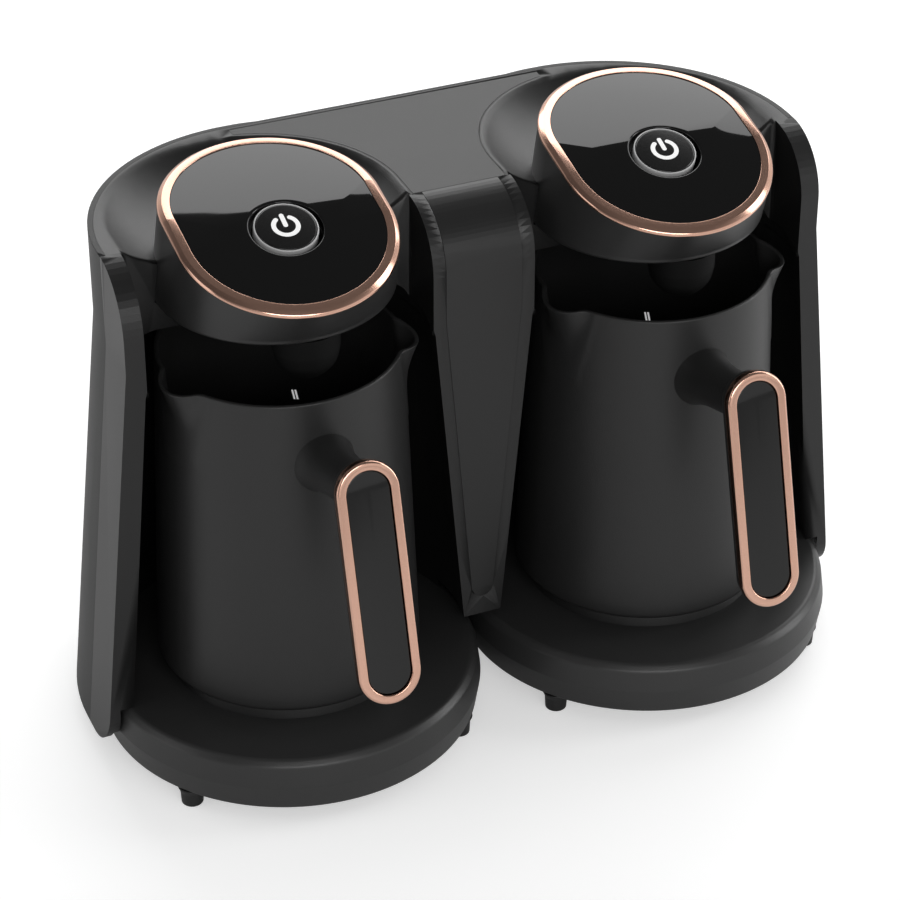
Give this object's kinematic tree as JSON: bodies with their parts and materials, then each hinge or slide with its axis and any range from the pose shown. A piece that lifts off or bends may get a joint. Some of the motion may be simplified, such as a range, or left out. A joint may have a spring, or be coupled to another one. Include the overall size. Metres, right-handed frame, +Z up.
{
  "type": "twin electric coffee maker",
  "caption": "Counter-top brewing machine with tilted round heads, push buttons, tapered lift-out pots with upright grips, and round heated bases in one rounded housing.",
  "frame": {"origin": "centre of the overall footprint, on the table under the feet", "axes": "+X along the row of pots towards the right-hand one, -Y towards the user, +Z up"},
  "size_m": [0.2912, 0.1874, 0.2134],
  "materials": {
    "housing_satin": "satin, fine grain",
    "shell_satin": "satin, fine grain",
    "deck_grey": "matt dark grey, fine grain",
    "black_gloss": "high gloss",
    "rose_gold": "polished rose gold",
    "pot_black": "satin coating, fine grain",
    "base_black": "satin",
    "plate_black": "coated, matt",
    "button_black": "satin with a light mark",
    "button_light": "pale diffuser",
    "soft_black": "matt",
    "steel": "plain",
    "inner_black": "moulded",
    "board_green": "coated circuit board",
    "board_dark": "moulded packages",
    "ceramic_cream": "unglazed ceramic",
    "sensor_dark": "dark infrared window"
  },
  "bodies": {
    "housing": {"front_body": "housing_satin", "deck_frame": "housing_satin", "left_bay_liner": "housing_satin", "right_bay_liner": "housing_satin", "rear_shell": "shell_satin", "top_panel": "deck_grey", "pillar_panel": "deck_grey", "rear_pan": "inner_black", "rear_screws": "steel", "cord_gland": "soft_black", "base_screws": "steel", "rubber_feet": "soft_black", "control_board": "board_green", "board_parts": "board_dark", "buzzer": "inner_black", "board_brackets": "inner_black", "left_base": "base_black", "right_base": "base_black", "left_base_pan": "inner_black", "right_base_pan": "inner_black", "left_base_posts": "inner_black", "right_base_posts": "inner_black", "left_heater_plate": "plate_black", "right_heater_plate": "plate_black", "left_heater_element": "steel", "right_heater_element": "steel", "left_thermostat": "ceramic_cream", "right_thermostat": "ceramic_cream", "left_head_shell": "housing_satin", "right_head_shell": "housing_satin", "left_head_ring": "rose_gold", "right_head_ring": "rose_gold", "left_head_panel": "black_gloss", "right_head_panel": "black_gloss", "left_button_guide": "inner_black", "right_button_guide": "inner_black", "left_tact_switch": "board_dark", "right_tact_switch": "board_dark", "left_key_board": "board_green", "right_key_board": "board_green", "left_sensor_hood": "base_black", "right_sensor_hood": "base_black", "left_foam_sensor": "sensor_dark", "right_foam_sensor": "sensor_dark"},
    "left_pot": {"left_pot": "pot_black", "left_handle_core": "soft_black", "left_handle_ring": "rose_gold", "left_handle_inset": "black_gloss", "left_handle_screw": "steel"},
    "left_button": {"left_button": "button_black", "left_button_ring": "button_light", "left_switch_plunger": "inner_black"},
    "right_pot": {"right_pot": "pot_black", "right_handle_core": "soft_black", "right_handle_ring": "rose_gold", "right_handle_inset": "black_gloss", "right_handle_screw": "steel"},
    "right_button": {"right_button": "button_black", "right_button_ring": "button_light", "right_switch_plunger": "inner_black"}
  },
  "joints": [
    {"name": "left_button_press", "type": "slide", "parent": "housing", "child": "left_button", "axis": [0, 0.3156, -0.9489], "range_m": [0, 0.001], "stiffness_N_per_m": 600},
    {"name": "left_pot_lift_out", "type": "slide", "parent": "housing", "child": "left_pot", "axis": [0, -1, 0], "range_m": [0, 0.12]},
    {"name": "right_button_press", "type": "slide", "parent": "housing", "child": "right_button", "axis": [0, 0.3156, -0.9489], "range_m": [0, 0.001], "stiffness_N_per_m": 600},
    {"name": "right_pot_lift_out", "type": "slide", "parent": "housing", "child": "right_pot", "axis": [0, -1, 0], "range_m": [0, 0.12]}
  ]
}
